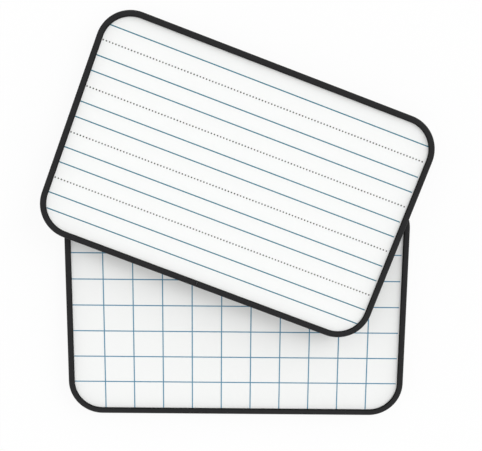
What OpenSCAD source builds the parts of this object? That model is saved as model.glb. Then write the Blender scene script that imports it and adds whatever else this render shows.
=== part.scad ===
// Pair of small two-sided dry-erase boards, ruled on one face and squared on the other.
// The bottom board lies flat with its squares up. The top board lies across it with its ruling up,
// leaning over the bottom board's far edge until one corner meets the surface.
// Millimetres, +Z up. The origin is on the surface, under the middle of the pair.

/* [Board] */
// Width of a board, outside the rim
board_w = 300; // [240:1:400]
// Height of a board, outside the rim
board_h = 200; // [160:1:280]
// Radius of a board's corners, outside the rim
corner_r = 30; // [14:1:60]

/* [Panel] */
// Thickness of the fibreboard core
core_t = 4; // [2:0.1:10]
// Thickness of each dry-erase sheet
sheet_t = 0.4; // [0.2:0.05:1.5]
// Thickness of the glue under each sheet
glue_t = 0.1; // [0.05:0.05:0.3]

/* [Rim] */
// Width of the rim, seen from the front
rim_w = 5.5; // [4:0.1:10]
// Wall of the rim's channel, at its back and at both lips
rim_wall = 1.5; // [1.2:0.1:2.5]
// Radius of the rim's two outer shoulders
shoulder_r = 2; // [0.8:0.1:2.4]
// Radius along the free edge of each lip
nose_r = 1; // [0.3:0.1:1.1]
// Room between the panel's edge and the back of the channel, filled by the bead of glue
edge_room = 0.3; // [0.1:0.1:0.8]
// Gap where the two ends of the rim strip meet
seam_gap = 0.1; // [0.05:0.05:1]

/* [Print] */
// Thickness of the printed ink
ink_t = 0.05; // [0.02:0.01:0.2]
// Width of a printed line
line_w = 0.95; // [0.3:0.05:2]
// Room between the print and the lips of the rim
print_room = 0.05; // [0.02:0.01:0.5]

/* [Ruled face] */
// Number of ruled lines, solid and dotted together
ruled_count = 13; // [4:1:15]
// Distance from one ruled line to the next
ruled_pitch = 13.5; // [5:0.1:16]
// Every so many lines, one is dotted
dotted_every = 3; // [2:1:6]
// Blank strip at the right-hand end of the solid lines
ruled_blank = 1; // [0:0.1:30]
// Diameter of a dot
dot_d = 1.3; // [0.4:0.1:2]
// Distance from one dot to the next
dot_pitch = 2.77; // [2.2:0.01:8]
// Blank strip from the left lip to the first dot's middle
dot_start = 1.1; // [1:0.1:30]
// Blank strip from the last dot's middle to the right lip, at least
dot_end = 2.1; // [1:0.1:30]

/* [Squared face] */
// Number of upright lines
upright_count = 10; // [2:1:16]
// Distance from one upright line to the next
upright_pitch = 26; // [6:0.1:30]
// Number of level lines
level_count = 7; // [1:1:11]
// Distance from one level line to the next
level_pitch = 23.4; // [6:0.1:26]
// Blank strip at the left-hand end of the level lines
level_start = 0.1; // [0:0.1:20]
// Blank strip at the right-hand end of the level lines
level_end = 0.9; // [0:0.1:20]

/* [Top board's place] */
// Turn of the top board, clockwise seen from above
top_turn = 20.2; // [12:0.1:34]
// Sideways place of the top board's middle, from the bottom board's middle
top_x = -0.8; // [-15:0.1:15]
// How far the top board's middle lies past the bottom board's far edge
top_past = 13.3; // [0:0.1:30]
// Gap left where the top board rests on the bottom board
rest_gap = 0.2; // [0.1:0.05:0.5]
// Gap left where the top board's corner rests on the surface
floor_gap = 0.05; // [0.02:0.01:0.5]

/* [Hidden] */
$fn = 96;

// Sides of a dot, which is too small to need a round edge
dot_sides = 6;
// Distance between the points at which the crossing of the two rims is looked for, and the turn between
// them along a corner
search_step = 0.1;
search_turn = 3;

// Thicknesses. A board's own frame has its middle at the origin and its ruled face towards +Z.
panel_t = core_t + 2 * (glue_t + sheet_t);
board_t = panel_t + 2 * rim_wall;
face_z = panel_t / 2;

// How far in from the board's outline the channel's back and the panel's edge lie
channel_in = rim_wall;
panel_in = rim_wall + edge_room;

// Half the straight run of each side, which is also where the corners turn
run_x = board_w / 2 - corner_r;
run_y = board_h / 2 - corner_r;

// Half the width of the opening inside the lips
open_x = board_w / 2 - rim_w;

// Middle of the top board, on plan, with the bottom board's middle as zero
top_at = [top_x, board_h / 2 + top_past];

// A point of the top board's own frame, on plan
function top_plan(p) = top_at + [
    p.x * cos(top_turn) + p.y * sin(top_turn),
    p.y * cos(top_turn) - p.x * sin(top_turn)
];

// How far a point on plan lies inside the outline of a board whose middle is at zero
function depth_in(p) =
    let (q = [abs(p.x) - run_x, abs(p.y) - run_y])
    corner_r - norm([max(q.x, 0), max(q.y, 0)]) - min(max(q.x, q.y), 0);

// The top board's far left corner rests on the surface
tip = top_plan([-run_x, run_y]) + [0, corner_r - shoulder_r];

// The inner edge of the flat of a rim, as points along its corners and straight sides
flat_in = rim_w - nose_r;
flat_turns = [
    for (turn = [0 : 90 : 270], a = [0 : search_turn : 90])
        let (corner = [sign(cos(turn + 45)) * run_x, sign(sin(turn + 45)) * run_y])
        corner + (corner_r - flat_in) * [cos(turn + a), sin(turn + a)]
];
function steps(from, to) =
    let (count = ceil(norm(to - from) / search_step))
    [for (i = [0 : 1 : count - 1]) from + (to - from) * i / count];
flat_edge = [
    for (i = [0 : len(flat_turns) - 1])
        each steps(flat_turns[i], flat_turns[(i + 1) % len(flat_turns)])
];

// The top board's rim rests on the bottom board's rim where the two cross, right and left:
// these points of the one lie over the flat of the other
crossing = [
    for (p = flat_edge)
        let (over = top_plan(p), inside = depth_in(over))
        if (inside > shoulder_r && inside < flat_in) over
];

// The farthest point of each crossing is where the leaning rim comes lowest
function farthest(points) = [for (p = points) if (p.y == max([for (q = points) q.y])) p][0];
right_rest = farthest([for (p = crossing) if (p.x > 0) p]);
left_rest = farthest([for (p = crossing) if (p.x < 0) p]);

// Under a steep lean, or where the rims don't cross at the left, the squared sheet meets the left end
// of the bottom board's far rim first
sheet_rest = [-run_x, board_h / 2 - shoulder_r];

// Rise of the top board's underside from its corner to each kind of rest
rim_rise = board_t + rest_gap - floor_gap;
sheet_rise = rim_rise - rim_wall;

// Slopes along X and Y of the plane through the corner, the right-hand rest and one rest at the left
function slopes_over(left, rise) =
    let (u = left - tip, v = right_rest - tip)
    [rise * v.y - rim_rise * u.y, rim_rise * u.x - rise * v.x] / (u.x * v.y - u.y * v.x);
sheet_slopes = slopes_over(sheet_rest, sheet_rise);

// The rest that holds the top board higher is the one that it lies on
on_sheet = is_undef(left_rest) || sheet_slopes * (left_rest - tip) > rim_rise;
slopes = on_sheet ? sheet_slopes : slopes_over(left_rest, rim_rise);
lean = atan(norm(slopes));

// Middle of the pair's box, on plan
top_half_x = run_x * cos(top_turn) + run_y * sin(top_turn) + corner_r;
pair_left = min(-board_w / 2, top_x - top_half_x);
pair_right = max(board_w / 2, top_x + top_half_x);
pair_far = tip.y + shoulder_r;
pair_middle = [(pair_left + pair_right) / 2, (pair_far - board_h / 2) / 2];

// Outline of a board, taken in by the same distance all round
module outline(inset) {
    radius = corner_r - inset;
    square([2 * run_x, board_h - 2 * inset], center = true);
    square([board_w - 2 * inset, 2 * run_y], center = true);
    for (x = [-run_x, run_x], y = [-run_y, run_y])
        translate([x, y])
            circle(radius);
}

// One flat layer of the panel, from height z upwards
module layer(z, thickness) {
    translate([0, 0, z])
        linear_extrude(thickness)
            outline(panel_in);
}

// Cross-section of the rim: x runs in from the outside, y through the thickness
module rim_section() {
    half_t = board_t / 2;
    flat_w = rim_w - shoulder_r - nose_r;
    difference() {
        union() {
            translate([shoulder_r, -half_t])
                square([flat_w, board_t]);
            translate([0, shoulder_r - half_t])
                square([shoulder_r + flat_w, board_t - 2 * shoulder_r]);
            translate([shoulder_r, nose_r - half_t])
                square([flat_w + nose_r, board_t - 2 * nose_r]);
            for (side = [-1, 1]) {
                translate([shoulder_r, side * (half_t - shoulder_r)])
                    circle(shoulder_r);
                translate([rim_w - nose_r, side * (half_t - nose_r)])
                    circle(nose_r);
            }
        }
        translate([channel_in, -face_z])
            square([rim_w, panel_t]);
    }
}

// A straight piece of the rim along the near side, with its two ends at x = from and x = to
module rim_run(from, to, reach) {
    translate([from, -reach, 0])
        rotate([90, 0, 90])
            linear_extrude(to - from)
                rim_section();
}

// The quarter turn of the rim at the corner between +X and +Y
module rim_corner() {
    rotate_extrude(angle = 90)
        translate([corner_r, 0])
            mirror([1, 0])
                rim_section();
}

module core() {
    color("#a9825a")
        layer(-core_t / 2, core_t);
}

module ruled_glue() {
    color("#e8e2cf")
        layer(core_t / 2, glue_t);
}

module grid_glue() {
    color("#e8e2cf")
        layer(-core_t / 2 - glue_t, glue_t);
}

module ruled_sheet() {
    color("#f9faf9")
        layer(core_t / 2 + glue_t, sheet_t);
}

module grid_sheet() {
    color("#f9faf9")
        layer(-face_z, sheet_t);
}

// The rim strip runs all round and its ends meet in the middle of the near long side
module rim() {
    color("#2b2b2c") {
        rim_run(-run_x, -seam_gap / 2, board_h / 2);
        rim_run(seam_gap / 2, run_x, board_h / 2);
        rotate(180)
            rim_run(-run_x, run_x, board_h / 2);
        for (turn = [90, -90])
            rotate(turn)
                rim_run(-run_y, run_y, board_w / 2);
        for (x = [-1, 1], y = [-1, 1])
            translate([x * run_x, y * run_y, 0])
                rotate(atan2(y, x) - 45)
                    rim_corner();
    }
}

module rim_glue() {
    color("#d9d3c0")
        translate([0, 0, -face_z])
            linear_extrude(panel_t)
                difference() {
                    outline(channel_in);
                    outline(panel_in);
                }
}

// Place of line number i of a set that is centred on the face
function line_at(i, count, pitch) = (i - (count - 1) / 2) * pitch;

// Height of ruled line number i, counted from the top of the face
function ruled_y(i) = -line_at(i, ruled_count, ruled_pitch);

// The second line is dotted, and then every so many after it
function is_dotted(i) = i % dotted_every == 1;

// What is printed on a face, held inside the lips of the rim
module printed(z) {
    translate([0, 0, z])
        linear_extrude(ink_t)
            intersection() {
                outline(rim_w + print_room);
                union()
                    children();
            }
}

module ruled_lines() {
    color("#167182")
        printed(face_z)
            for (i = [0 : ruled_count - 1])
                if (!is_dotted(i))
                    translate([-board_w / 2, ruled_y(i) - line_w / 2])
                        square([board_w / 2 + open_x - ruled_blank, line_w]);
}

module dotted_lines() {
    color("#3b3b3c")
        translate([0, 0, face_z])
            for (i = [0 : ruled_count - 1])
                if (is_dotted(i))
                    for (x = [dot_start - open_x : dot_pitch : open_x - dot_end])
                        if (depth_in([x, ruled_y(i)]) > rim_w + print_room + dot_d / 2)
                            translate([x, ruled_y(i), 0])
                                cylinder(d = dot_d, h = ink_t, $fn = dot_sides);
}

module grid_lines() {
    color("#6295ab")
        printed(-face_z - ink_t) {
            for (i = [0 : upright_count - 1])
                translate([line_at(i, upright_count, upright_pitch), 0])
                    square([line_w, board_h], center = true);
            for (i = [0 : level_count - 1])
                translate([level_start - open_x, line_at(i, level_count, level_pitch) - line_w / 2])
                    square([2 * open_x - level_start - level_end, line_w]);
        }
}

// Turns a board over, so that its squares face up, and lays it flat
module bottom_board() {
    translate([-pair_middle.x, -pair_middle.y, board_t / 2])
        rotate([180, 0, 0])
            children();
}

// Turns a board on plan, and leans it about its far left corner
module top_board() {
    translate([tip.x - pair_middle.x, tip.y - pair_middle.y, floor_gap])
        rotate(lean, [slopes.y, -slopes.x, 0])
            translate([top_at.x - tip.x, top_at.y - tip.y, board_t / 2])
                rotate(-top_turn)
                    children();
}

bottom_board() core();  // bottom_core
bottom_board() ruled_glue();  // bottom_ruled_glue
bottom_board() grid_glue();  // bottom_grid_glue
bottom_board() ruled_sheet();  // bottom_ruled_sheet
bottom_board() grid_sheet();  // bottom_grid_sheet
bottom_board() rim();  // bottom_rim
bottom_board() rim_glue();  // bottom_rim_glue
bottom_board() ruled_lines();  // bottom_ruled_lines
bottom_board() dotted_lines();  // bottom_dotted_lines
bottom_board() grid_lines();  // bottom_grid_lines
top_board() core();  // top_core
top_board() ruled_glue();  // top_ruled_glue
top_board() grid_glue();  // top_grid_glue
top_board() ruled_sheet();  // top_ruled_sheet
top_board() grid_sheet();  // top_grid_sheet
top_board() rim();  // top_rim
top_board() rim_glue();  // top_rim_glue
top_board() ruled_lines();  // top_ruled_lines
top_board() dotted_lines();  // top_dotted_lines
top_board() grid_lines();  // top_grid_lines
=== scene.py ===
# A pair of small two-sided dry-erase boards. One lies flat with its squares up, and the other leans across
# it with its ruling up. Metres, +Z up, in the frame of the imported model.
import math

import bmesh
import bpy
from mathutils import Matrix, Vector


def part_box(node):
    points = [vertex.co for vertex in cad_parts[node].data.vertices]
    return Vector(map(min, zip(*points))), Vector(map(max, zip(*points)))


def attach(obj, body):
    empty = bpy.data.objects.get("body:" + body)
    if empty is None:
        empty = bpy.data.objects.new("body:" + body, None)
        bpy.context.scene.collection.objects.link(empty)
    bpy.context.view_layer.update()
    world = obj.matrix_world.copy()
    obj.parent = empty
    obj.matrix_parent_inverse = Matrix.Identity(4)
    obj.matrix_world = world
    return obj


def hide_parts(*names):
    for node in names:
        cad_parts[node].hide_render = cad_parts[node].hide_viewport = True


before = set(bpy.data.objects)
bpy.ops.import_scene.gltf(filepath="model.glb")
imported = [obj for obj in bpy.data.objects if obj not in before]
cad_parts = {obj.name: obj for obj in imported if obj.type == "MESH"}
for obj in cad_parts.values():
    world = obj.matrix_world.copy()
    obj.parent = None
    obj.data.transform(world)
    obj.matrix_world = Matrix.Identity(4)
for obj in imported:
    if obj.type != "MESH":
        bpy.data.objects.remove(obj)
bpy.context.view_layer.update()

MM = 0.001
BOARDS = ("bottom", "top")

# Sizes of a board, from the flat-lying one, whose sides run along X and Y
RIM_LOW, RIM_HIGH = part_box("bottom_rim")
BOARD_WIDTH, BOARD_HEIGHT, BOARD_THICKNESS = RIM_HIGH - RIM_LOW
PANEL_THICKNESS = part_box("bottom_grid_sheet")[1].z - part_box("bottom_ruled_sheet")[0].z
CORNER_RADIUS = 30 * MM

# Rim strip
RIM_WIDTH = 5.5 * MM
RIM_WALL = 1.5 * MM
SHOULDER_RADIUS = 2 * MM
NOSE_RADIUS = 1 * MM
SEAM_GAP = 0.1 * MM
CORNER_STEPS = 28
ROUNDING_STEPS = 7

# Print on both faces, and half the opening between the lips of the rim that it keeps inside
INK_THICKNESS = 0.05 * MM
INK_MIDDLE = (PANEL_THICKNESS + INK_THICKNESS) / 2
LINE_WIDTH = 0.95 * MM
PRINT_ROOM = 0.05 * MM
OPEN_X = BOARD_WIDTH / 2 - RIM_WIDTH
OPEN_Y = BOARD_HEIGHT / 2 - RIM_WIDTH

# Ruled face. Its lines start under the left lip and stop short of the right one.
RULED_COUNT = 13
RULED_PITCH = 13.5 * MM
RULED_TOP = (RULED_COUNT - 1) / 2 * RULED_PITCH
RULED_BLANK = 1 * MM
RULED_LENGTH = BOARD_WIDTH / 2 + OPEN_X - RULED_BLANK
DOTTED_EVERY = 3
DOTTED_COUNT = (RULED_COUNT - 2) // DOTTED_EVERY + 1
DOT_DIAMETER = 1.3 * MM
DOT_PITCH = 2.77 * MM
DOT_START = 1.1 * MM
DOT_END = 2.1 * MM
DOT_COUNT = int((2 * OPEN_X - DOT_START - DOT_END) / DOT_PITCH) + 1
DOT_SIDES = 16
DOT_SPREAD = 0.04
DOT_SEED = 7

# Squared face
UPRIGHT_COUNT = 10
UPRIGHT_PITCH = 26 * MM
UPRIGHT_LEFT = -(UPRIGHT_COUNT - 1) / 2 * UPRIGHT_PITCH
LEVEL_COUNT = 7
LEVEL_PITCH = 23.4 * MM
LEVEL_TOP = (LEVEL_COUNT - 1) / 2 * LEVEL_PITCH
LEVEL_START = 0.1 * MM
LEVEL_END = 0.9 * MM
LEVEL_LENGTH = 2 * OPEN_X - LEVEL_START - LEVEL_END

# Meshes: points this near are one point, and a bend this sharp is shaded as an edge
MERGE_DISTANCE = 0.001 * MM
SHARP_ANGLE = math.radians(30)

# Camera, at the photograph's view, and the width of its picture in pixels
CAMERA_AT = Vector((3.89, 56.39, 482.66)) * MM
LOOK_AT = Vector((4.26, -4.14, 0)) * MM
PICTURE_TURN = math.radians(0.489)
PICTURE_WIDTH = 482
FOCAL_PIXELS = 553.99
SENSOR_WIDTH = 36

# Light, as shares of what falls on a level surface. They add up to 1, which shows a colour about as it is
# written. The walls are brightest at their foot, and fade upwards by a power.
CEILING_LEVEL = 0.56
WALL_LEVEL = 0.24
WALL_FADE = 5
KEY_LEVEL = 0.2
KEY_FROM = Vector((0.9, 0.44, 0.33)).normalized()
KEY_SPREAD = math.radians(45)

# Floor. Its glow is the share of its look that is plain white, and the rest takes the boards' shadow.
FLOOR_SIZE = 4
FLOOR_DROP = 0.02 * MM
FLOOR_GLOW = 0.9


def linear(colour):
    """A colour written as sRGB hex, as linear red, green, blue and alpha."""
    channels = [int(colour[i:i + 2], 16) / 255 for i in (1, 3, 5)]
    return (*(c / 12.92 if c <= 0.04045 else ((c + 0.055) / 1.055) ** 2.4 for c in channels), 1.0)


def plug(tree, node, inputs):
    """Gives a node's inputs a number, a colour, another node's output, or a list of outputs each."""
    for key, value in inputs.items():
        for source in value if isinstance(value, list) else [value]:
            if isinstance(source, bpy.types.Node):
                source = next(output for output in source.outputs if output.enabled)
            if isinstance(source, bpy.types.NodeSocket):
                tree.links.new(source, node.inputs[key])
            else:
                node.inputs[key].default_value = source


def add(tree, kind, inputs=None, **settings):
    """Adds a node with its own settings and its inputs."""
    node = tree.nodes.new(kind)
    for name, value in settings.items():
        setattr(node, name, value)
    plug(tree, node, inputs or {})
    return node


# Where the boards are


def middle_of(node):
    """The middle of a CAD node's box."""
    low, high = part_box(node)
    return (low + high) / 2


def board_pose(board):
    """The matrix that takes a board's own frame to its place.

    In its own frame a board has its middle at zero, its ruled face to +Z and its long side on X.
    """
    least_upward = 0.9
    core = bmesh.new()
    core.from_mesh(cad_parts[f"{board}_core"].data)
    bmesh.ops.remove_doubles(core, verts=core.verts, dist=MERGE_DISTANCE)
    upper = {face for face in core.faces if face.normal.z > least_upward}
    outline = [edge for edge in core.edges if sum(face in upper for face in edge.link_faces) == 1]
    longest = max(outline, key=lambda edge: edge.calc_length())
    along = (longest.verts[1].co - longest.verts[0].co).normalized()
    along *= math.copysign(1, along.x)
    core.free()
    middle = middle_of(f"{board}_core")
    out = (middle_of(f"{board}_ruled_sheet") - middle).normalized()
    across = out.cross(along).normalized()
    turn = Matrix((across.cross(out), across, out)).transposed()
    return Matrix.Translation(middle) @ turn.to_4x4()


POSES = {board: board_pose(board) for board in BOARDS}
TURNED_OVER = Matrix.Rotation(math.pi, 4, "X")


# Geometry trees


SOCKETS = {int: "NodeSocketInt", float: "NodeSocketFloat", Vector: "NodeSocketVector"}


def new_tree(name, sizes):
    """An empty geometry tree with a named input for each size, and the outputs of its group input node."""
    tree = bpy.data.node_groups.new(name, "GeometryNodeTree")
    tree.interface.new_socket("Mesh", in_out="OUTPUT", socket_type="NodeSocketGeometry")
    for key, value in sizes.items():
        tree.interface.new_socket(key, in_out="INPUT", socket_type=SOCKETS[type(value)])
    tree.interface.new_socket("Finish", in_out="INPUT", socket_type="NodeSocketMaterial")
    return tree, add(tree, "NodeGroupInput").outputs


def close_tree(tree, size, geometry):
    """Ends a tree in real, finished geometry."""
    real = add(tree, "GeometryNodeRealizeInstances", {"Geometry": geometry})
    done = add(tree, "GeometryNodeSetMaterial", {"Geometry": real, "Material": size["Finish"]})
    add(tree, "NodeGroupOutput", {"Mesh": done})


def grow(tree, name, sizes, finish, place):
    """The plain mesh object that a tree makes from these sizes, at its place."""
    piece = bpy.data.objects.new(name, bpy.data.meshes.new(name))
    bpy.context.scene.collection.objects.link(piece)
    modifier = piece.modifiers.new("shape", "NODES")
    modifier.node_group = tree
    for socket in tree.interface.items_tree:
        if socket.in_out == "INPUT":
            modifier[socket.identifier] = finish if socket.name == "Finish" else sizes[socket.name]
    mesh = bpy.data.meshes.new_from_object(piece.evaluated_get(bpy.context.evaluated_depsgraph_get()))
    piece.modifiers.remove(modifier)
    mesh.transform(place)
    mesh.set_sharp_from_angle(angle=SHARP_ANGLE)
    piece.data = mesh
    return piece


RIM_SIZES = {
    "Width": BOARD_WIDTH,
    "Height": BOARD_HEIGHT,
    "Thickness": BOARD_THICKNESS,
    "Panel": PANEL_THICKNESS,
    "Corner": CORNER_RADIUS,
    "Rim": RIM_WIDTH,
    "Wall": RIM_WALL,
    "Shoulder": SHOULDER_RADIUS,
    "Nose": NOSE_RADIUS,
    "Seam": SEAM_GAP,
    "Corner steps": CORNER_STEPS,
    "Rounding steps": ROUNDING_STEPS,
}


def rounded_line(tree, size, name, stops, steps, closed):
    """A curve with straight sides and rounded bends, which keeps the distance along it under this name.

    A stop has the names of two sizes, the share of each that is its place, and the radius of its bend.
    """
    line = add(tree, "GeometryNodeMeshLine", {"Count": len(stops)})
    index = add(tree, "GeometryNodeInputIndex")
    place = add(tree, "GeometryNodeIndexSwitch", {"Index": index}, data_type="VECTOR")
    radius = add(tree, "GeometryNodeIndexSwitch", {"Index": index}, data_type="FLOAT")
    for _ in stops[2:]:
        place.index_switch_items.new()
        radius.index_switch_items.new()
    for i, (x, y, x_share, y_share, bend) in enumerate(stops, start=1):
        box = add(tree, "ShaderNodeCombineXYZ", {"X": size[x], "Y": size[y]})
        share = {0: box, 1: (x_share, y_share, 0)}
        plug(tree, place, {i: add(tree, "ShaderNodeVectorMath", share, operation="MULTIPLY")})
        plug(tree, radius, {i: bend})
    bent = add(tree, "GeometryNodeSetPosition", {"Geometry": line, "Position": place})
    curve = add(tree, "GeometryNodeMeshToCurve", {"Mesh": bent})
    joined = add(tree, "GeometryNodeSetSplineCyclic", {"Geometry": curve, "Cyclic": closed})
    turns = {"Curve": joined, "Radius": radius, "Count": steps}
    rounded = add(tree, "GeometryNodeFilletCurve", turns, mode="POLY")
    distance = add(tree, "GeometryNodeSplineParameter").outputs["Length"]
    marks = {"Geometry": rounded, "Name": name, "Value": distance}
    return add(tree, "GeometryNodeStoreNamedAttribute", marks, data_type="FLOAT", domain="POINT")


def rim_tree():
    """The rim strip: a channel swept round the board from one end at the seam to the other.

    Its attributes give the distance along the strip and across its section, and how nearly the surface
    lies level.
    """
    tree, size = new_tree("rim strip", RIM_SIZES)
    corner, shoulder, nose, sharp = size["Corner"], size["Shoulder"], size["Nose"], 0.0
    route = [
        ("Seam", "Height", -0.5, -0.5, sharp),
        ("Width", "Height", -0.5, -0.5, corner),
        ("Width", "Height", -0.5, 0.5, corner),
        ("Width", "Height", 0.5, 0.5, corner),
        ("Width", "Height", 0.5, -0.5, corner),
        ("Seam", "Height", 0.5, -0.5, sharp),
    ]
    section = [
        ("Wall", "Panel", 1, 0.5, sharp),
        ("Rim", "Panel", 1, 0.5, sharp),
        ("Rim", "Thickness", 1, 0.5, nose),
        ("Rim", "Thickness", 0, 0.5, shoulder),
        ("Rim", "Thickness", 0, -0.5, shoulder),
        ("Rim", "Thickness", 1, -0.5, nose),
        ("Rim", "Panel", 1, -0.5, sharp),
        ("Wall", "Panel", 1, -0.5, sharp),
    ]
    path = rounded_line(tree, size, "along", route, size["Corner steps"], closed=False)
    profile = rounded_line(tree, size, "across", section, size["Rounding steps"], closed=True)
    upright = add(tree, "GeometryNodeSetCurveNormal", {"Curve": path}, mode="Z_UP")
    sweep = {"Curve": upright, "Profile Curve": profile, "Fill Caps": True}
    strip = add(tree, "GeometryNodeCurveToMesh", sweep)
    facing = add(tree, "ShaderNodeSeparateXYZ", {"Vector": add(tree, "GeometryNodeInputNormal")})
    level = add(tree, "ShaderNodeMath", {0: facing.outputs["Z"]}, operation="ABSOLUTE")
    marks = {"Geometry": strip, "Name": "level", "Value": level}
    marked = add(tree, "GeometryNodeStoreNamedAttribute", marks, data_type="FLOAT", domain="FACE")
    close_tree(tree, size, add(tree, "GeometryNodeSetShadeSmooth", {"Geometry": marked}))
    return tree


PRINT_SIZES = {
    "Opening width": 2 * (OPEN_X - PRINT_ROOM),
    "Opening height": 2 * (OPEN_Y - PRINT_ROOM),
    "Opening corner": CORNER_RADIUS - RIM_WIDTH - PRINT_ROOM,
    "Opening depth": BOARD_THICKNESS,
    "Corner steps": CORNER_STEPS,
}
RULED_SIZES = PRINT_SIZES | {
    "Level count": RULED_COUNT,
    "Level start": Vector(((RULED_LENGTH - BOARD_WIDTH) / 2, RULED_TOP, INK_MIDDLE)),
    "Level step": Vector((0, -RULED_PITCH, 0)),
    "Level bar": Vector((RULED_LENGTH, LINE_WIDTH, INK_THICKNESS)),
    "Dotted every": DOTTED_EVERY,
    "Upright count": 0,
    "Upright start": Vector(),
    "Upright step": Vector(),
    "Upright bar": Vector(),
}
GRID_SIZES = PRINT_SIZES | {
    "Level count": LEVEL_COUNT,
    "Level start": Vector(((LEVEL_START - LEVEL_END) / 2, LEVEL_TOP, INK_MIDDLE)),
    "Level step": Vector((0, -LEVEL_PITCH, 0)),
    "Level bar": Vector((LEVEL_LENGTH, LINE_WIDTH, INK_THICKNESS)),
    "Dotted every": 0,
    "Upright count": UPRIGHT_COUNT,
    "Upright start": Vector((UPRIGHT_LEFT, 0, INK_MIDDLE)),
    "Upright step": Vector((UPRIGHT_PITCH, 0, 0)),
    "Upright bar": Vector((LINE_WIDTH, BOARD_HEIGHT, INK_THICKNESS)),
}


def print_tree():
    """Printed lines as one thin layer of ink: level and upright bars, cut off at the opening in the rim.

    A level line is left out where a dotted one runs: the second, and every so many after it.
    """
    tree, size = new_tree("printed lines", GRID_SIZES)
    second, slack = 1.0, 0.1
    index = add(tree, "GeometryNodeInputIndex")
    in_turn = add(tree, "ShaderNodeMath", {0: index, 1: size["Dotted every"]}, operation="MODULO")
    dotted = add(tree, "ShaderNodeMath", {0: in_turn, 1: second, 2: slack}, operation="COMPARE")
    solid = add(tree, "FunctionNodeBooleanMath", {0: dotted}, operation="NOT")
    bars = []
    for line, shown in ("Level", solid), ("Upright", True):
        start, step = size[f"{line} start"], size[f"{line} step"]
        row = {"Count": size[f"{line} count"], "Start Location": start, "Offset": step}
        places = add(tree, "GeometryNodeMeshLine", row)
        bar = add(tree, "GeometryNodeMeshCube", {"Size": size[f"{line} bar"]})
        copies = {"Points": places, "Instance": bar, "Selection": shown}
        copied = add(tree, "GeometryNodeInstanceOnPoints", copies)
        bars.append(add(tree, "GeometryNodeRealizeInstances", {"Geometry": copied}))
    crossed = add(tree, "GeometryNodeMeshBoolean", {"Mesh 2": bars}, operation="UNION", solver="MANIFOLD")

    sides = {"Width": size["Opening width"], "Height": size["Opening height"]}
    outline = add(tree, "GeometryNodeCurvePrimitiveQuadrilateral", sides)
    turns = {"Curve": outline, "Radius": size["Opening corner"], "Count": size["Corner steps"]}
    rounded = add(tree, "GeometryNodeFilletCurve", turns, mode="POLY")
    opening = add(tree, "GeometryNodeFillCurve", {"Curve": rounded}, mode="NGONS")
    rise = {"Mesh": opening, "Offset Scale": size["Opening depth"], "Individual": False}
    walls = add(tree, "GeometryNodeExtrudeMesh", rise, mode="FACES")
    bottom = add(tree, "GeometryNodeFlipFaces", {"Mesh": opening})
    shell = add(tree, "GeometryNodeJoinGeometry", {"Geometry": [walls, bottom]})
    block = add(tree, "GeometryNodeMergeByDistance", {"Geometry": shell, "Distance": MERGE_DISTANCE})
    shared = {"Mesh 2": [crossed, block]}
    trimmed = add(tree, "GeometryNodeMeshBoolean", shared, operation="INTERSECT", solver="MANIFOLD")
    close_tree(tree, size, trimmed)
    return tree


DOT_SIZES = {
    "Lines": DOTTED_COUNT,
    "First line": Vector((0, RULED_TOP - RULED_PITCH, INK_MIDDLE)),
    "Line step": Vector((0, -DOTTED_EVERY * RULED_PITCH, 0)),
    "Dots": DOT_COUNT,
    "First dot": Vector((DOT_START - OPEN_X, 0, 0)),
    "Dot step": Vector((DOT_PITCH, 0, 0)),
    "Radius": DOT_DIAMETER / 2,
    "Ink": INK_THICKNESS,
    "Sides": DOT_SIDES,
    "Smallest": 1 - DOT_SPREAD,
    "Largest": 1 + DOT_SPREAD,
    "Seed": DOT_SEED,
}


def dot_tree():
    """Printed dots in rows, each a round spot of ink whose size differs a little from the next."""
    tree, size = new_tree("printed dots", DOT_SIZES)
    column = {"Count": size["Lines"], "Start Location": size["First line"], "Offset": size["Line step"]}
    lines = add(tree, "GeometryNodeMeshLine", column)
    row = {"Count": size["Dots"], "Start Location": size["First dot"], "Offset": size["Dot step"]}
    line = add(tree, "GeometryNodeMeshLine", row)
    rows = add(tree, "GeometryNodeInstanceOnPoints", {"Points": lines, "Instance": line})
    places = add(tree, "GeometryNodeRealizeInstances", {"Geometry": rows})
    disc = {"Vertices": size["Sides"], "Radius": size["Radius"], "Depth": size["Ink"]}
    dot = add(tree, "GeometryNodeMeshCylinder", disc, fill_type="NGON")
    limits = {"Min": size["Smallest"], "Max": size["Largest"], "Seed": size["Seed"]}
    growth = add(tree, "FunctionNodeRandomValue", limits, data_type="FLOAT")
    scale = add(tree, "ShaderNodeCombineXYZ", {"X": growth, "Y": growth, "Z": 1.0})
    dots = add(tree, "GeometryNodeInstanceOnPoints", {"Points": places, "Instance": dot, "Scale": scale})
    close_tree(tree, size, dots)
    return tree


# Materials


# Noise keeps mostly within this span, so a pattern takes its whole range from there
NOISE_SPAN = {"From Min": 0.3, "From Max": 0.7}


def new_material(name):
    """An empty material and its node tree."""
    material = bpy.data.materials.new(name)
    material.use_nodes = True
    material.node_tree.nodes.clear()
    return material, material.node_tree


def own_place(tree, board):
    """Object coordinates turned into a board's own frame."""
    middle, turn, _ = POSES[board].decompose()
    place = add(tree, "ShaderNodeTexCoord").outputs["Object"]
    pose = {"Vector": place, "Location": middle, "Rotation": turn.to_euler()}
    return add(tree, "ShaderNodeMapping", pose, vector_type="TEXTURE")


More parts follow.
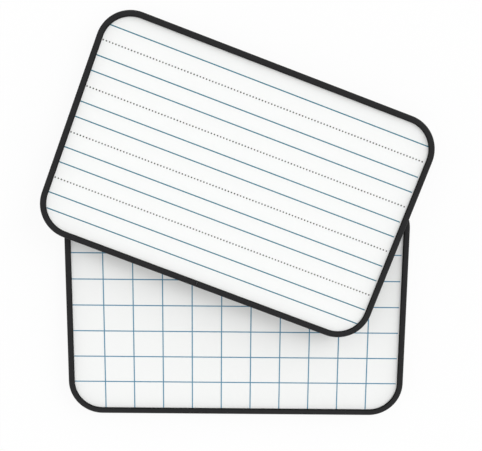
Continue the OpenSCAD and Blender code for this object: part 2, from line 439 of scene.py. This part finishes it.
def depth_in(tree, place):
    """How far a place lies in from the rounded outline of its board."""
    flat = add(tree, "ShaderNodeVectorMath", {0: place, 1: (1, 1, 0)}, operation="MULTIPLY")
    folded = add(tree, "ShaderNodeVectorMath", {0: flat}, operation="ABSOLUTE")
    run = (BOARD_WIDTH / 2 - CORNER_RADIUS, BOARD_HEIGHT / 2 - CORNER_RADIUS, 0)
    past = add(tree, "ShaderNodeVectorMath", {0: folded, 1: run}, operation="SUBTRACT")
    outside = add(tree, "ShaderNodeVectorMath", {0: past, 1: (0, 0, 0)}, operation="MAXIMUM")
    length = add(tree, "ShaderNodeVectorMath", {0: outside}, operation="LENGTH")
    sides = add(tree, "ShaderNodeSeparateXYZ", {"Vector": past}).outputs
    larger = add(tree, "ShaderNodeMath", {0: sides["X"], 1: sides["Y"]}, operation="MAXIMUM")
    inside = add(tree, "ShaderNodeMath", {0: larger, 1: 0.0}, operation="MINIMUM")
    beyond = add(tree, "ShaderNodeMath", {0: length, 1: inside}, operation="ADD")
    return add(tree, "ShaderNodeMath", {0: CORNER_RADIUS, 1: beyond}, operation="SUBTRACT")


def dry_erase_film(board):
    """Melamine film, pressed against a polished plate: bright white and glossy.

    It has a faint ripple that bends what it reflects, duller strokes where a cloth has wiped it, and
    painted shade along the lips of the rim, darker in soft uneven clouds.
    """
    film, tree = new_material(f"melamine_dry_erase_film_{board}")
    # Sizes of the painted shade along the lips of the rim, then of the wiped strokes, the ripple and the
    # gloss
    lip_shade_reach, lip_shade_grain, lip_shade_fade = 20 * MM, 9 * MM, 2.0
    stroke_length, stroke_width, stroke_turn = 70 * MM, 7 * MM, 0.5
    ripple_width, ripple_depth = 4 * MM, 0.1 * MM
    polished, wiped = 0.14, 0.26
    place = own_place(tree, board)
    reach = {"From Min": RIM_WIDTH, "From Max": RIM_WIDTH + lip_shade_reach, "To Min": 1.0, "To Max": 0.0}
    lip = add(tree, "ShaderNodeMapRange", {"Value": depth_in(tree, place)} | reach)
    near_lip = add(tree, "ShaderNodeMath", {0: lip, 1: lip_shade_fade}, operation="POWER")
    cloud = add(tree, "ShaderNodeTexNoise", {"Vector": place, "Scale": 1 / lip_shade_grain, "Detail": 4.0})
    # Painted shade: the film's white is darkened towards the lips of the rim, broken into clouds
    painted_lip_shade = add(tree, "ShaderNodeMath", {0: near_lip, 1: cloud}, operation="MULTIPLY")
    whites = {"Factor": painted_lip_shade, "A": linear("#f9faf9"), "B": linear("#f6f7f6")}
    colour = add(tree, "ShaderNodeMix", whites, data_type="RGBA")
    spacing = (1 / stroke_length, 1 / stroke_width, 1)
    sweep = {"Vector": place, "Scale": spacing, "Rotation": (0, 0, stroke_turn)}
    wipes = add(tree, "ShaderNodeMapping", sweep)
    smear = {"Vector": wipes, "Scale": 1.0, "Detail": 3.0, "Distortion": 0.6}
    strokes = add(tree, "ShaderNodeTexNoise", smear)
    sheen = {"Value": strokes, "To Min": polished, "To Max": wiped}
    gloss = add(tree, "ShaderNodeMapRange", sheen | NOISE_SPAN)
    peel = add(tree, "ShaderNodeTexNoise", {"Vector": place, "Scale": 1 / ripple_width, "Detail": 2.0})
    bump = add(tree, "ShaderNodeBump", {"Height": peel, "Strength": 1.0, "Distance": ripple_depth})
    surface = {"Base Color": colour, "Roughness": gloss, "Normal": bump, "IOR": 1.5}
    shader = add(tree, "ShaderNodeBsdfPrincipled", surface)
    add(tree, "ShaderNodeOutputMaterial", {"Surface": shader})
    return film


def extruded_pvc():
    """Soft black PVC edging, pulled through a die: satin, with fine streaks the way it was pulled.

    Its flat lips are painted greyer than the rounded shoulders beside them, a painted sheen where the surface
    lies level, streaked along the strip and patchy.
    """
    pvc, tree = new_material("extruded_black_pvc")
    streak_width, streak_length, streak_depth = 0.5 * MM, 60 * MM, 0.05 * MM
    sheen_patch_width, flat_from, flat_full = 5 * MM, 0.8, 0.99
    smooth, rough = 0.38, 0.52
    across = add(tree, "ShaderNodeAttribute", attribute_name="across").outputs["Fac"]
    along = add(tree, "ShaderNodeAttribute", attribute_name="along").outputs["Fac"]
    level = add(tree, "ShaderNodeAttribute", attribute_name="level").outputs["Fac"]
    strands = add(tree, "ShaderNodeMath", {0: across, 1: streak_width}, operation="DIVIDE")
    lengths = add(tree, "ShaderNodeMath", {0: along, 1: streak_length}, operation="DIVIDE")
    pull = add(tree, "ShaderNodeCombineXYZ", {"X": strands, "Y": lengths})
    streaks = add(tree, "ShaderNodeTexNoise", {"Vector": pull, "Scale": 1.0, "Detail": 3.0})
    place = add(tree, "ShaderNodeTexCoord").outputs["Object"]
    sheen_patches = add(tree, "ShaderNodeTexNoise", {"Vector": place, "Scale": 1 / sheen_patch_width, "Detail": 5.0})
    # Painted sheen: faces that lie level are painted a lighter grey, in streaks and patches, and the rounded
    # shoulders stay black
    level_span = {"Value": level, "From Min": flat_from, "From Max": flat_full}
    flat = add(tree, "ShaderNodeMapRange", level_span)
    mixed = add(tree, "ShaderNodeMath", {0: streaks, 1: sheen_patches}, operation="ADD")
    painted_sheen = add(tree, "ShaderNodeMath", {0: flat, 1: mixed}, operation="MULTIPLY")
    blacks = {"Factor": painted_sheen, "A": linear("#080808"), "B": linear("#222223")}
    colour = add(tree, "ShaderNodeMix", blacks, data_type="RGBA")
    sheen = {"Value": streaks, "To Min": smooth, "To Max": rough}
    gloss = add(tree, "ShaderNodeMapRange", sheen | NOISE_SPAN)
    bump = add(tree, "ShaderNodeBump", {"Height": streaks, "Strength": 0.12, "Distance": streak_depth})
    surface = {"Base Color": colour, "Roughness": gloss, "Normal": bump}
    shader = add(tree, "ShaderNodeBsdfPrincipled", surface | {"IOR": 1.53, "Specular IOR Level": 0.14})
    add(tree, "ShaderNodeOutputMaterial", {"Surface": shader})
    return pvc


def screen_ink(name, thick, thin):
    """Screen-printed ink: flat colour, duller than the film, slightly mottled where the mesh laid it thinner.

    The mesh itself is too fine to show, so the mottle is drawn coarser.
    """
    ink, tree = new_material(name)
    mottle = 1.5 * MM
    smooth, rough = 0.3, 0.45
    place = add(tree, "ShaderNodeTexCoord").outputs["Object"]
    cloud = add(tree, "ShaderNodeTexNoise", {"Vector": place, "Scale": 1 / mottle, "Detail": 3.0})
    thinness = add(tree, "ShaderNodeMapRange", {"Value": cloud} | NOISE_SPAN)
    tints = {"Factor": thinness, "A": linear(thick), "B": linear(thin)}
    colour = add(tree, "ShaderNodeMix", tints, data_type="RGBA")
    gloss = add(tree, "ShaderNodeMapRange", {"Value": thinness, "To Min": smooth, "To Max": rough})
    surface = {"Base Color": colour, "Roughness": gloss, "IOR": 1.5, "Specular IOR Level": 0.2}
    shader = add(tree, "ShaderNodeBsdfPrincipled", surface)
    add(tree, "ShaderNodeOutputMaterial", {"Surface": shader})
    return ink


def fibreboard():
    """Hardboard pressed from wood fibre: brown and dull, flecked with paler fibres and darker bark.

    A single fibre is too fine to show, so the fibres are drawn as bundles.
    """
    board, tree = new_material("pressed_fibreboard")
    fibre_width, fibre_depth = 1.2 * MM, 0.1 * MM
    bark_width, bark_from, bark_full, bark_share = 6 * MM, 0.62, 0.7, 0.5
    smooth, rough = 0.65, 0.9
    place = add(tree, "ShaderNodeTexCoord").outputs["Object"]
    fibres = add(tree, "ShaderNodeTexNoise", {"Vector": place, "Scale": 1 / fibre_width, "Detail": 6.0})
    bundles = add(tree, "ShaderNodeMapRange", {"Value": fibres} | NOISE_SPAN)
    flecks = add(tree, "ShaderNodeTexNoise", {"Vector": place, "Scale": 1 / bark_width, "Detail": 2.0})
    browns = {"Factor": bundles, "A": linear("#7d5a38"), "B": linear("#b48d63")}
    brown = add(tree, "ShaderNodeMix", browns, data_type="RGBA")
    edge = {"Value": flecks, "From Min": bark_from, "From Max": bark_full, "To Max": bark_share}
    bark = add(tree, "ShaderNodeMapRange", edge)
    darker = {"Factor": bark, "A": brown, "B": linear("#553a22")}
    colour = add(tree, "ShaderNodeMix", darker, data_type="RGBA")
    gloss = add(tree, "ShaderNodeMapRange", {"Value": bundles, "To Min": smooth, "To Max": rough})
    bump = add(tree, "ShaderNodeBump", {"Height": fibres, "Strength": 0.4, "Distance": fibre_depth})
    surface = {"Base Color": colour, "Roughness": gloss, "Normal": bump, "IOR": 1.5}
    shader = add(tree, "ShaderNodeBsdfPrincipled", surface)
    add(tree, "ShaderNodeOutputMaterial", {"Surface": shader})
    return board


def dried_glue(name, pale, deep):
    """White wood glue, dried to a cream skin that is yellower and glossier where it lies thicker."""
    glue, tree = new_material(name)
    puddle = 8 * MM
    smooth, rough = 0.3, 0.55
    place = add(tree, "ShaderNodeTexCoord").outputs["Object"]
    cloud = add(tree, "ShaderNodeTexNoise", {"Vector": place, "Scale": 1 / puddle, "Detail": 3.0})
    depth = add(tree, "ShaderNodeMapRange", {"Value": cloud} | NOISE_SPAN)
    creams = {"Factor": depth, "A": linear(pale), "B": linear(deep)}
    colour = add(tree, "ShaderNodeMix", creams, data_type="RGBA")
    gloss = add(tree, "ShaderNodeMapRange", {"Value": depth, "To Min": rough, "To Max": smooth})
    shader = add(tree, "ShaderNodeBsdfPrincipled", {"Base Color": colour, "Roughness": gloss, "IOR": 1.47})
    add(tree, "ShaderNodeOutputMaterial", {"Surface": shader})
    return glue


# The boards

pvc = extruded_pvc()
ruled_ink = screen_ink("screen_printed_teal_ink", "#026a82", "#0e748c")
dotted_ink = screen_ink("screen_printed_grey_ink", "#323233", "#444445")
grid_ink = screen_ink("screen_printed_blue_ink", "#4c85a2", "#5e93ae")
board_core = fibreboard()
sheet_glue = dried_glue("dried_wood_glue_film", "#ece6d4", "#ddd3b8")
rim_glue = dried_glue("dried_wood_glue_bead", "#ddd7c6", "#cbbf9f")

rim_shape, line_shape, dot_shape = rim_tree(), print_tree(), dot_tree()
for board in BOARDS:
    body = f"{board}_board"
    ruled_side = POSES[board]
    grid_side = POSES[board] @ TURNED_OVER
    made = {
        "rim": (rim_shape, RIM_SIZES, pvc, ruled_side, "rim"),
        "ruled_lines": (line_shape, RULED_SIZES, ruled_ink, ruled_side, "ruled_ink"),
        "dotted_lines": (dot_shape, DOT_SIZES, dotted_ink, ruled_side, "dotted_ink"),
        "grid_lines": (line_shape, GRID_SIZES, grid_ink, grid_side, "grid_ink"),
    }
    for node, (shape, sizes, finish, place, slot) in made.items():
        piece = grow(shape, f"{board}_{node}_finished", sizes, finish, place)
        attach(piece, body)
        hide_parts(f"{board}_{node}")
    film = dry_erase_film(board)
    kept = {
        "core": board_core,
        "ruled_glue": sheet_glue,
        "grid_glue": sheet_glue,
        "ruled_sheet": film,
        "grid_sheet": film,
        "rim_glue": rim_glue,
    }
    for node, finish in kept.items():
        for material_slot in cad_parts[f"{board}_{node}"].material_slots:
            material_slot.material = finish


# Floor, light and camera

scene = bpy.context.scene
scene.view_settings.view_transform = "Standard"


def seen_ray(tree):
    """One for a ray that shows the background, straight or in a gloss, and zero for one that lights."""
    path = add(tree, "ShaderNodeLightPath").outputs
    mirrored = {0: path["Is Glossy Ray"], 1: path["Is Transmission Ray"]}
    shiny = add(tree, "ShaderNodeMath", mirrored, operation="MAXIMUM")
    return add(tree, "ShaderNodeMath", {0: path["Is Camera Ray"], 1: shiny}, operation="MAXIMUM")


def studio_floor():
    """A white paper sweep that keeps the boards' shadow.

    It lies a hair below them, so that no face shares its plane.
    """
    mesh = bpy.data.meshes.new("floor")
    half = FLOOR_SIZE / 2
    corners = [(x * half, y * half, -FLOOR_DROP) for x, y in ((-1, -1), (1, -1), (1, 1), (-1, 1))]
    mesh.from_pydata(corners, [], [(0, 1, 2, 3)])
    floor = bpy.data.objects.new("floor", mesh)
    scene.collection.objects.link(floor)
    paper, tree = new_material("white_paper_sweep")
    plain = add(tree, "ShaderNodeBsdfDiffuse", {"Color": linear("#fcfcfc")})
    glow = add(tree, "ShaderNodeEmission", {"Color": linear("#ffffff"), "Strength": 1.0})
    share = add(tree, "ShaderNodeMath", {0: seen_ray(tree), 1: FLOOR_GLOW}, operation="MULTIPLY")
    mixed = add(tree, "ShaderNodeMixShader", {0: share, 1: plain, 2: glow})
    add(tree, "ShaderNodeOutputMaterial", {"Surface": mixed})
    mesh.materials.append(paper)


def studio_light():
    """A white room, brighter towards the foot of its walls, and one broad soft light.

    That light stands low on the right, a little towards the far side, and isn't mirrored in the film.
    """
    world = bpy.data.worlds.new("studio")
    world.use_nodes = True
    tree = world.node_tree
    tree.nodes.clear()
    direction = add(tree, "ShaderNodeTexCoord").outputs["Generated"]
    height = add(tree, "ShaderNodeSeparateXYZ", {"Vector": direction}).outputs["Z"]
    rise = add(tree, "ShaderNodeMath", {0: height}, operation="ABSOLUTE")
    low = add(tree, "ShaderNodeMapRange", {"Value": rise, "To Min": 1.0, "To Max": 0.0})
    near_foot = add(tree, "ShaderNodeMath", {0: low, 1: WALL_FADE}, operation="POWER")
    # Walls that fade by this power light a level surface with 2 / ((power + 1) (power + 2)) of their foot
    foot_level = WALL_LEVEL * (WALL_FADE + 1) * (WALL_FADE + 2) / 2
    span = {"To Min": CEILING_LEVEL, "To Max": CEILING_LEVEL + foot_level}
    room_level = add(tree, "ShaderNodeMapRange", {"Value": near_foot} | span)
    seen_white = {"Value": seen_ray(tree), "To Min": room_level, "To Max": 1.0}
    strength = add(tree, "ShaderNodeMapRange", seen_white)
    room = add(tree, "ShaderNodeBackground", {"Color": linear("#ffffff"), "Strength": strength})
    add(tree, "ShaderNodeOutputWorld", {"Surface": room})
    scene.world = world
    lamp = bpy.data.lights.new("key", "SUN")
    lamp.angle = KEY_SPREAD
    lamp.energy = KEY_LEVEL * math.pi / KEY_FROM.z
    key = bpy.data.objects.new("key", lamp)
    key.rotation_mode = "QUATERNION"
    key.rotation_quaternion = KEY_FROM.to_track_quat("Z", "Y")
    key.visible_glossy = False
    scene.collection.objects.link(key)


def photograph_camera():
    """The camera, nearly straight above the boards."""
    lens = bpy.data.cameras.new("camera")
    lens.sensor_width = SENSOR_WIDTH
    lens.lens = FOCAL_PIXELS * SENSOR_WIDTH / PICTURE_WIDTH
    camera = bpy.data.objects.new("camera", lens)
    back = (CAMERA_AT - LOOK_AT).normalized()
    picture_up = Vector((-math.sin(PICTURE_TURN), math.cos(PICTURE_TURN), 0))
    right = picture_up.cross(back).normalized()
    turn = Matrix((right, back.cross(right), back)).transposed()
    camera.matrix_world = Matrix.Translation(CAMERA_AT) @ turn.to_4x4()
    scene.collection.objects.link(camera)
    scene.camera = camera


studio_floor()
studio_light()
photograph_camera()
